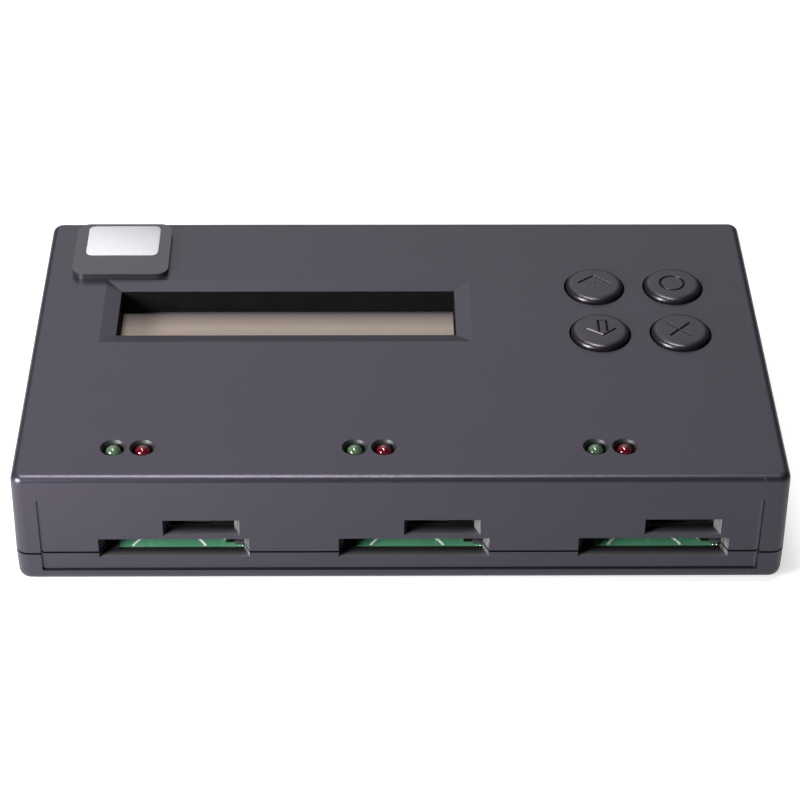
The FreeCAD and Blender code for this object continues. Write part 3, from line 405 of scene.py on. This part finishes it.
def lens_surface(name, colour):
    """Tinted epoxy of a light, unlit."""
    paint, shader = new_material(name)
    cloud = paint.spread(paint.noise(700.0), 0.0, 1.0)
    shade = [value * LENS_SHADE for value in colour]
    paint.set(shader, {
        "Base Color": paint.blend(cloud, shade, colour),
        "Roughness": paint.spread(paint.noise(1500.0), 0.05, 0.12),
        "Transmission Weight": 0.45,
        "IOR": 1.52,
        "Coat Weight": 1.0,
        "Coat Roughness": 0.03,
    })


def make_materials():
    """Fills MATERIALS: one for each slot of the record, and those of the scene alone."""
    shell_surface()
    display_surface()
    board_surface()
    for name, (colour, roughness, settings) in SURFACES.items():
        surface(name, colour, roughness, **settings)
    for name, (colour, roughness) in METALS.items():
        sheet_metal(name, colour, roughness)
    for name, colour in LENSES.items():
        lens_surface(name, colour)


def dress_nodes():
    """Gives each CAD node the material of its slot."""
    for row in frame["record"]["subparts"]:
        target = frame["nodes"][row["node"]]
        material = MATERIALS[row["material_slot"]]
        if not target.material_slots:
            target.data.materials.append(material)
        for place in target.material_slots:
            place.material = material


# Mesh tools, in millimetres

# Distances up to which points count as one, a radius as zero, and an edge as lying at the top
WELD = 1e-5
NO_RADIUS = 1e-6
AT_TOP = 0.01


def add_object(name, data):
    """An object in the scene's own collection."""
    added = bpy.data.objects.new(name, data)
    bpy.context.scene.collection.objects.link(added)
    return added


def mesh_data(name, mesh):
    """Mesh data from a bmesh, which is used up."""
    data = bpy.data.meshes.new(name)
    mesh.to_mesh(data)
    mesh.free()
    return data


def smooth(data, angle):
    """Shades a mesh smooth, apart from edges sharper than an angle in degrees."""
    for face in data.polygons:
        face.use_smooth = True
    data.set_sharp_from_angle(angle=math.radians(angle))


def to_metres(mesh):
    """Turns a bmesh's faces outward, and its millimetres into metres."""
    bmesh.ops.recalc_face_normals(mesh, faces=mesh.faces)
    bmesh.ops.scale(mesh, vec=(MM, MM, MM), verts=mesh.verts)


def finished(name, mesh, slot, body="housing", smooth_angle=None):
    """Turns a bmesh in millimetres into a piece that rides on a body."""
    bmesh.ops.remove_doubles(mesh, verts=mesh.verts, dist=WELD)
    to_metres(mesh)
    data = mesh_data(name, mesh)
    data.materials.append(MATERIALS[slot])
    piece = add_object(name, data)
    if smooth_angle is not None:
        smooth(data, smooth_angle)
    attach(piece, body)
    return piece


def circle_points(x, y, radius, steps):
    """Points of a full circle, seen from above."""
    turns = [2 * math.pi * step / steps for step in range(steps)]
    return [(x + radius * math.cos(turn), y + radius * math.sin(turn)) for turn in turns]


def arc_points(across_at, up_at, radius, start, end, steps):
    """Points of an arc from one angle to another, in degrees from the first axis."""
    points = []
    for step in range(steps + 1):
        turn = math.radians(start + (end - start) * step / steps)
        points.append((across_at + radius * math.cos(turn), up_at + radius * math.sin(turn)))
    return points


def rounded_outline(left, right, front, rear, radius, steps):
    """Points of a rectangle with rounded corners, seen from above."""
    points = []
    for x, y, start in ((right - radius, front + radius, -90), (right - radius, rear - radius, 0),
                        (left + radius, rear - radius, 90), (left + radius, front + radius, 180)):
        points += arc_points(x, y, radius, start, start + 90, steps)
    return points


def lathe(mesh, centre, profile, steps):
    """Turns a profile of (radius, height) pairs about an upright axis through the centre."""
    rings = []
    for radius, height in profile:
        if radius < NO_RADIUS:
            points = [centre]
        else:
            points = circle_points(*centre, radius, steps)
        rings.append([mesh.verts.new((x, y, height)) for x, y in points])
    for low, high in zip(rings, rings[1:]):
        for step in range(steps):
            after = (step + 1) % steps
            corners = [low[step % len(low)], low[after % len(low)],
                       high[after % len(high)], high[step % len(high)]]
            unique = list(dict.fromkeys(corners))
            if len(unique) > 2:
                mesh.faces.new(unique)


def prism(mesh, outline, low, high):
    """A prism over a closed outline of (x, y) pairs."""
    base = [mesh.verts.new((x, y, low)) for x, y in outline]
    top = [mesh.verts.new((x, y, high)) for x, y in outline]
    mesh.faces.new(base[::-1])
    mesh.faces.new(top)
    count = len(outline)
    for step in range(count):
        after = (step + 1) % count
        mesh.faces.new((base[step], base[after], top[after], top[step]))


def bevel_top(mesh, top, width, steps):
    """Bevels the edges of a new prism's top face, whose straight edges keep their place.

    A new mesh has no normals yet, so the bevel takes hold at the rounded corners alone.
    """
    ring = [edge for edge in mesh.edges
            if all(vertex.co.z > top - AT_TOP for vertex in edge.verts)]
    bmesh.ops.bevel(mesh, geom=ring, offset=width, segments=steps, profile=0.5, affect="EDGES")


def apply_modifiers(piece):
    """Replaces a piece's mesh with what its modifiers make of it."""
    graph = bpy.context.evaluated_depsgraph_get()
    done = bpy.data.meshes.new_from_object(piece.evaluated_get(graph))
    piece.modifiers.clear()
    piece.data = done


# Buttons

# The rounded edge of a cap: its height and its width
BUTTON_EDGE = 0.95
BUTTON_ROUND = 1.3
EDGE_STEPS = 10
CAP_RADIUS = 5.6
CAP_STEPS = 96
CAP_SMOOTH = 30
# From the bottom of the stem to the top of the flange
FLANGE_TOP = 2.75
FLANGE_THICKNESS = 1.0
STEM_RADIUS = 2.0
STEM_CHAMFER = 0.2
GROOVE_DEPTH = 0.35
GROOVE_WIDTH = 0.52
# How far a groove's cutter stands out of the cap
GROOVE_OVER = 0.3

# Lines of each symbol round the middle of its cap, and the ring of the ok button
SYMBOL_LINES = {
    "up": (((-3.2, 0.1), (0, 2.6), (2.9, 0)),
           ((-0.02, 0.1), (0.22, 0.1))),
    "down": (((-2.9, 0.3), (0.4, -1.9), (3.0, 0.3)),
             ((-0.3, -0.75), (-0.3, 2.95), (1.3, 2.95), (1.3, -0.65))),
    "back": (((-2.3, -2.1), (1.9, 2.1)),
             ((-2.4, 2.1), (1.9, -2.1))),
}
RING_SHIFT = -0.2
RING_RADIUS = 2.35
RING_STEPS = 48


def symbol_strokes(name, x, y):
    """The engraved lines of a button, each with whether it is closed."""
    if name == "ok":
        return [(circle_points(x + RING_SHIFT, y, RING_RADIUS, RING_STEPS), True)]
    return [([(x + across, y + away) for across, away in line], False)
            for line in SYMBOL_LINES[name]]


def stroke(mesh, points, top, closed):
    """A groove's cutter: a V-shaped ridge along a line, standing up through the cap's top."""
    half = GROOVE_WIDTH / 2
    slope = half / GROOVE_DEPTH
    wide = half + GROOVE_OVER * slope
    count = len(points)
    rails = []
    for index, (x, y) in enumerate(points):
        before = points[(index - 1) % count] if closed or index > 0 else points[index]
        after = points[(index + 1) % count] if closed or index < count - 1 else points[index]
        along = Vector((after[0] - before[0], after[1] - before[1])).normalized()
        across = Vector((-along.y, along.x))
        left = (x + across.x * wide, y + across.y * wide, top + GROOVE_OVER)
        right = (x - across.x * wide, y - across.y * wide, top + GROOVE_OVER)
        bottom = (x, y, top - GROOVE_DEPTH)
        rails.append([mesh.verts.new(corner) for corner in (left, bottom, right)])
    spans = count if closed else count - 1
    for index in range(spans):
        low, high = rails[index], rails[(index + 1) % count]
        for side in range(3):
            other = (side + 1) % 3
            mesh.faces.new((low[side], low[other], high[other], high[side]))
    if not closed:
        mesh.faces.new(rails[0][::-1])
        mesh.faces.new(rails[-1])


def engrave(cap, name, place, top):
    """Cuts a button's symbol into its cap."""
    cutters = []
    for index, (points, closed) in enumerate(symbol_strokes(name, *place)):
        tool = bmesh.new()
        stroke(tool, points, top, closed)
        to_metres(tool)
        groove = f"{name}_groove_{index}"
        cutter = add_object(groove, mesh_data(groove, tool))
        cut = cap.modifiers.new("engrave", "BOOLEAN")
        cut.operation = "DIFFERENCE"
        cut.solver = "EXACT"
        cut.object = cutter
        cutters.append(cutter)
    apply_modifiers(cap)
    for cutter in cutters:
        bpy.data.objects.remove(cutter)


def make_button(name):
    """A cap with its flange, its stem and its engraved symbol, on the button's own key."""
    low, high = place_of(f"{name}_button")
    place = middle_of(low, high)
    top = high.z
    flange_top = low.z + FLANGE_TOP
    flange_bottom = flange_top - FLANGE_THICKNESS
    flange_radius = (high.x - low.x) / 2
    profile = [
        (0, low.z),
        (STEM_RADIUS - STEM_CHAMFER, low.z),
        (STEM_RADIUS, low.z + STEM_CHAMFER),
        (STEM_RADIUS, flange_bottom),
        (flange_radius, flange_bottom),
        (flange_radius, flange_top),
        (CAP_RADIUS, flange_top),
        (CAP_RADIUS, top - BUTTON_EDGE),
    ]
    for step in range(1, EDGE_STEPS + 1):
        turn = math.radians(90 * step / EDGE_STEPS)
        profile.append((CAP_RADIUS - BUTTON_ROUND * (1 - math.cos(turn)),
                        top - BUTTON_EDGE * (1 - math.sin(turn))))
    profile.append((0, top))
    mesh = bmesh.new()
    lathe(mesh, place, profile, CAP_STEPS)
    cap = finished(f"{name}_cap", mesh, "button_plastic", f"{name}_key")
    engrave(cap, name, place, top)
    smooth(cap.data, CAP_SMOOTH)
    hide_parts(f"{name}_button")


# Lights

LED_RADIUS = 1.5
LED_FLANGE_RADIUS = 1.9
LED_FLANGE_HEIGHT = 0.8
LED_SMOOTH = 40

# The lead frame inside a lens: the cup's profile as radius and depth below the lens's tip, and
# the two posts as left, right, half depth and top below the tip, all from the lens's axis
CUP_SHIFT = -0.35
CUP_PROFILE = ((0, 2.6), (0.55, 2.6), (0.62, 2.0), (0.5, 2.0), (0.28, 2.25), (0, 2.25))
POSTS = ((-0.6, -0.1, 0.22, 2.6), (0.35, 0.75, 0.2, 2.1))
POST_ROUND = 0.08
POST_FOOT = 0.1

# The lip that lines a light's hole: (radius, depth below its rim), from the outside inward
LIP_OUTER = 2.34
LIP_INNER = 1.92
LIP_DEPTH = 1.9
LIP_PROFILE = ((LIP_OUTER, LIP_DEPTH), (LIP_OUTER, 0), (LIP_OUTER - 0.06, 0.05),
               (LIP_INNER, 0.85), (LIP_INNER, LIP_DEPTH), (LIP_OUTER, LIP_DEPTH))
LIP_SINK = 0.01


def make_led(colour, port):
    """A light's lens, the lead frame inside it, and the lip of its hole."""
    node = f"{colour}_led_{port}"
    low, high = place_of(node)
    x, y = middle_of(low, high)
    shoulder = low.z + LED_FLANGE_HEIGHT
    dome = high.z - LED_RADIUS
    profile = [
        (0, low.z),
        (LED_FLANGE_RADIUS, low.z),
        (LED_FLANGE_RADIUS, shoulder),
        (LED_RADIUS, shoulder),
        (LED_RADIUS, dome),
        *arc_points(0, dome, LED_RADIUS, 0, 90, 12)[1:-1],
        (0, high.z),
    ]
    mesh = bmesh.new()
    lathe(mesh, (x, y), profile, 48)
    lens = finished(f"{colour}_lens_{port}", mesh, f"{colour}_lens", smooth_angle=LED_SMOOTH)
    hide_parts(node)

    leads = bmesh.new()
    cup = [(radius, high.z - below) for radius, below in CUP_PROFILE]
    lathe(leads, (x + CUP_SHIFT, y), cup, 20)
    for left, right, half, below in POSTS:
        outline = rounded_outline(x + left, x + right, y - half, y + half, POST_ROUND, 2)
        prism(leads, outline, low.z + POST_FOOT, high.z - below)
    finished(f"{colour}_lead_frame_{port}", leads, "tinned_wire", smooth_angle=LED_SMOOTH)

    rim = place_of("top_shell")[1].z - LIP_SINK
    lip_mesh = bmesh.new()
    lathe(lip_mesh, (x, y), [(radius, rim - below) for radius, below in LIP_PROFILE], 48)
    lip = finished(f"{colour}_light_lip_{port}", lip_mesh, "hole_plastic",
                   smooth_angle=LED_SMOOTH)


# Plate

PLATE_ROUND = 2.5
PLATE_SMOOTH = 35
FIELD_INSET_SIDE = 2.3
FIELD_INSET_FRONT = 6.6
FIELD_INSET_REAR = 1.0
FIELD_ROUND = 1.2
FIELD_EDGE = 0.06
# How far the light field stands above the plate, and how far down it reaches
FIELD_RELIEF = 0.12
FIELD_REACH = 0.3


def make_plate():
    """The raised plate at the rear left corner, left blank, with its bare light field."""
    low, high = place_of("name_plate")
    mesh = bmesh.new()
    prism(mesh, rounded_outline(low.x, high.x, low.y, high.y, PLATE_ROUND, 12),
          low.z, high.z - FIELD_RELIEF)
    plate = finished("blank_plate", mesh, "plate_plastic", smooth_angle=PLATE_SMOOTH)
    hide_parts("name_plate")
    field = bmesh.new()
    outline = rounded_outline(low.x + FIELD_INSET_SIDE, high.x - FIELD_INSET_SIDE,
                              low.y + FIELD_INSET_FRONT, high.y - FIELD_INSET_REAR,
                              FIELD_ROUND, 8)
    prism(field, outline, high.z - FIELD_REACH, high.z)
    bevel_top(field, high.z, FIELD_EDGE, 2)
    finished("blank_plate_field", field, "light_field", smooth_angle=PLATE_SMOOTH)


# Inside the ports: X is from the port's middle, and heights are from the board's top

PRINT_THICKNESS = 0.03
ARC_CENTRE = (-1.2, -40.9)
ARC_RADII = (7.22, 7.64)
ARC_TURNS = (22, 62)
ARC_STEPS = 12
# What lies further to the front than this is left out of the arcs
ARC_FRONT = -37.95

# X, Y and radius of each bead of solder; the front two differ in size from port to port
REAR_BEADS = ((8.9, -35.8, 0.28), (10.6, -36.0, 0.26))
FRONT_BEADS = ((11.6, -37.75, 0.22), (12.3, -37.7, 0.26))
FRONT_BEAD_SIZE = {1: 0.6, 2: 0.5, 3: 1.25}

# Left, right, front, rear, corner radius, bottom and top: the black block at the board's right
# end with its smaller upper step, and the dark strip of painted shade at the board's left end
CORNER_PIECES = (
    (10.9, 13.7, -37.4, -35.2, 0.15, 0, 0.85),
    (11.3, 13.3, -37.1, -35.6, 0.1, 0.85, 1.0),
    (-15.0, -10.4, -38.7, -35.0, 0.1, 0, PRINT_THICKNESS),
)

# From the SD port's middle to the microSD port's
MICROSD_SHIFT = 5.1
# Half width, front, rear, corner radius, corner steps, bottom and top of the black strips of
# painted shade under a microSD socket, from the socket's middle and the card board's top
SHADE_STRIPS = ((6.8, -37.38, -36.87, 0.05, 2, 0, 0.1), (7.1, -37.92, -37.86, 0.01, 1, -1.5, 0.5))


def make_printed_arcs(port, middle, board_top):
    """Two printed arcs on the main board."""
    arcs = bmesh.new()
    for side in (-1, 1):
        inner, outer = (
            [(middle + ARC_CENTRE[0] + side * across, ARC_CENTRE[1] + away)
             for across, away in arc_points(0, 0, radius, *ARC_TURNS, ARC_STEPS)]
            for radius in ARC_RADII)
        outline = [point for point in inner + outer[::-1] if point[1] > ARC_FRONT]
        if side < 0:
            outline = outline[::-1]
        prism(arcs, outline, board_top, board_top + PRINT_THICKNESS)
    finished(f"printed_arcs_{port}", arcs, "print_white")


def make_solder_beads(port, middle, board_top):
    """Four beads of solder on the main board."""
    solder = bmesh.new()
    size = FRONT_BEAD_SIZE[port]
    beads = REAR_BEADS + tuple((x, y, radius * size) for x, y, radius in FRONT_BEADS)
    for x, y, radius in beads:
        dome = [(radius, board_top), *arc_points(0, board_top, radius, 15, 75, 4),
                (0, board_top + radius)]
        lathe(solder, (middle + x, y), dome, 16)
    finished(f"solder_beads_{port}", solder, "tinned_wire", smooth_angle=50)


def make_component_and_shade_strip(port, middle, board_top):
    """The black block on the main board, and the dark strip of painted shade at its left end."""
    block = bmesh.new()
    for left, right, front, rear, radius, bottom, top in CORNER_PIECES:
        prism(block, rounded_outline(middle + left, middle + right, front, rear, radius, 3),
              board_top + bottom, board_top + top)
    finished(f"component_and_shade_strip_{port}", block, "chip_plastic", smooth_angle=30)


def make_painted_shade_strips(port, middle):
    """Black strips of painted shade on the card board and down its front, under the microSD
    socket.
    """
    card_top = place_of("card_board")[1].z
    bay = middle + MICROSD_SHIFT
    strips = bmesh.new()
    for half, front, rear, radius, steps, bottom, top in SHADE_STRIPS:
        prism(strips, rounded_outline(bay - half, bay + half, front, rear, radius, steps),
              card_top + bottom, card_top + top)
    finished(f"painted_shade_strips_{port}", strips, "gasket_foam_and_painted_shade", smooth_angle=30)


def make_port_details(port, middle):
    """What shows in the mouths of a pair of slots, apart from the sockets."""
    board_top = place_of("main_board")[1].z
    make_printed_arcs(port, middle, board_top)
    make_solder_beads(port, middle, board_top)
    make_component_and_shade_strip(port, middle, board_top)
    make_painted_shade_strips(port, middle)


# Inside the window

WINDOW_MIDDLE = (-21.6, 10.25)
WINDOW_HALF = (32.8, 7.35)
GASKET = 0.15
GASKET_ROUND = 0.02
# From the bezel up to the gasket, and from the gasket up to the shell's top
GASKET_FOOT = 0.05
GASKET_SINK = 0.8


def make_gasket():
    """A thin black foam lining on the four walls of the display window."""
    low = place_of("display_bezel")[1].z + GASKET_FOOT
    high = place_of("top_shell")[1].z - GASKET_SINK
    (x, y), (half_x, half_y) = WINDOW_MIDDLE, WINDOW_HALF
    half = GASKET / 2
    mesh = bmesh.new()
    for side in (-1, 1):
        wall_x, wall_y = x + side * (half_x - half), y + side * (half_y - half)
        for walls in ((wall_x - half, wall_x + half, y - half_y + GASKET, y + half_y - GASKET),
                      (x - half_x, x + half_x, wall_y - half, wall_y + half)):
            prism(mesh, rounded_outline(*walls, GASKET_ROUND, 1), low, high)
    finished("window_gasket", mesh, "gasket_foam_and_painted_shade", smooth_angle=30)


# Camera and light, in metres where no unit is given

# Fitted to the photograph: pitch, turn and roll in degrees, and the place in millimetres
CAMERA_ANGLES = (37.54, 0.819, -0.394)
CAMERA_PLACE = (-6.69, -381.46, 304.4)
CAMERA_SHIFT = (0.0105, -0.0015)
FOCAL_LENGTH_MM = 110.93
SENSOR_WIDTH_MM = 36.0
CLIP = (0.01, 10.0)

# Place, target, width, height and watts
LAMPS = {
    "overhead": ((-0.1, -0.05, 0.95), (0.0, 0.0, 0.0), 0.6, 0.11, 6.2),
    "low_key": ((-0.25, -0.22, 0.14), (0.0, 0.0, 0.01), 0.13, 0.13, 2.4),
}

# Ramps of the room's light over the direction in which it is looked at: its level at both ends,
# and where the ramp starts and ends, along Y, X, the size of X, and Z
ROOM_DEPTH = (0.055, 0.99, -0.05, 0.45)
ROOM_SIDE = (1.3, 0.7, -0.3, 0.3)
ROOM_FLANK = (1.0, 0.2, 0.22, 0.55)
ROOM_HEIGHT = (0.1, 1.0, 0.12, 0.5)

WHITE = (1.0, 1.0, 1.0)
FLOOR_HALF = 3.0
FLOOR_STEPS = 24
# What the floor gains where the camera sees it
FLOOR_LIFT = 0.55


def make_camera():
    """The camera that was fitted to the photograph."""
    pitch, turn, roll = (math.radians(angle) for angle in CAMERA_ANGLES)
    across = Vector((math.cos(turn), -math.sin(turn), 0))
    away = Vector((math.sin(turn), math.cos(turn), 0))
    forward = away * math.cos(pitch) - Vector((0, 0, math.sin(pitch)))
    upward = away * math.sin(pitch) + Vector((0, 0, math.cos(pitch)))
    right = across * math.cos(roll) - upward * math.sin(roll)
    above = across * math.sin(roll) + upward * math.cos(roll)
    data = bpy.data.cameras.new("camera")
    data.sensor_width = SENSOR_WIDTH_MM
    data.lens = FOCAL_LENGTH_MM
    data.shift_x, data.shift_y = CAMERA_SHIFT
    data.clip_start, data.clip_end = CLIP
    camera = add_object("camera", data)
    turned = Matrix((right, above, -forward)).transposed().to_4x4()
    turned.translation = Vector(CAMERA_PLACE) * MM
    camera.matrix_world = turned
    bpy.context.scene.camera = camera


def make_lamp(name, place, target, width, height, watts):
    """A rectangular lamp that the camera doesn't see."""
    data = bpy.data.lights.new(name, "AREA")
    data.shape = "RECTANGLE"
    data.size = width
    data.size_y = height
    data.energy = watts
    lamp = add_object(name, data)
    lamp.location = place
    lamp.rotation_mode = "QUATERNION"
    lamp.rotation_quaternion = (Vector(target) - Vector(place)).to_track_quat("-Z", "Y")
    lamp.visible_camera = False


def make_world():
    """A soft room: brighter behind and above, darker in front, and white where it is seen."""
    world = bpy.data.worlds.new("room")
    bpy.context.scene.world = world
    world.use_nodes = True
    room = Wiring(world.node_tree)
    direction = room.nodes.new("ShaderNodeTexCoord").outputs["Generated"]
    x, y, z = room.axes(direction)
    depth = room.spread(y, *ROOM_DEPTH)
    flank = room.spread(room.calculate("ABSOLUTE", x), *ROOM_FLANK)
    side = room.product(room.spread(x, *ROOM_SIDE), flank)
    height = room.spread(z, *ROOM_HEIGHT)
    soft = room.product(room.product(depth, side), height)
    room.set(room.nodes["Background"], {
        "Color": room.blend(room.seen(), soft, WHITE),
        "Strength": 1.0,
    })


def make_floor():
    """A pale floor that shows white where nothing shades it."""
    mesh = bmesh.new()
    bmesh.ops.create_grid(mesh, x_segments=FLOOR_STEPS, y_segments=FLOOR_STEPS, size=FLOOR_HALF)
    floor = add_object("floor", mesh_data("floor", mesh))
    material = MATERIALS["floor"]
    floor.data.materials.append(material)
    paint = Wiring(material.node_tree)
    shader = paint.nodes["Principled BSDF"]
    paint.set(shader, {"Specular IOR Level": 0.0})
    lift = paint.add("ShaderNodeEmission", {
        "Color": WHITE, "Strength": paint.spread(paint.seen(), 0.0, FLOOR_LIFT, 0.0, 1.0),
    })
    both = paint.nodes.new("ShaderNodeAddShader")
    paint.feed(both.inputs[0], shader.outputs["BSDF"])
    paint.feed(both.inputs[1], lift.outputs["Emission"])
    paint.set(paint.nodes["Material Output"], {"Surface": both.outputs["Shader"]})


def make_light():
    """The room, the floor and the lamps."""
    make_world()
    make_floor()
    for name, settings in LAMPS.items():
        make_lamp(name, *settings)


# The scene

make_materials()
dress_nodes()
make_camera()
make_light()
for button in ("up", "ok", "down", "back"):
    make_button(button)
for number, centre in PORT_MIDDLES.items():
    for tint in ("green", "red"):
        make_led(tint, number)
    make_port_details(number, centre)
make_plate()
make_gasket()

bpy.context.scene.view_settings.view_transform = "Standard"
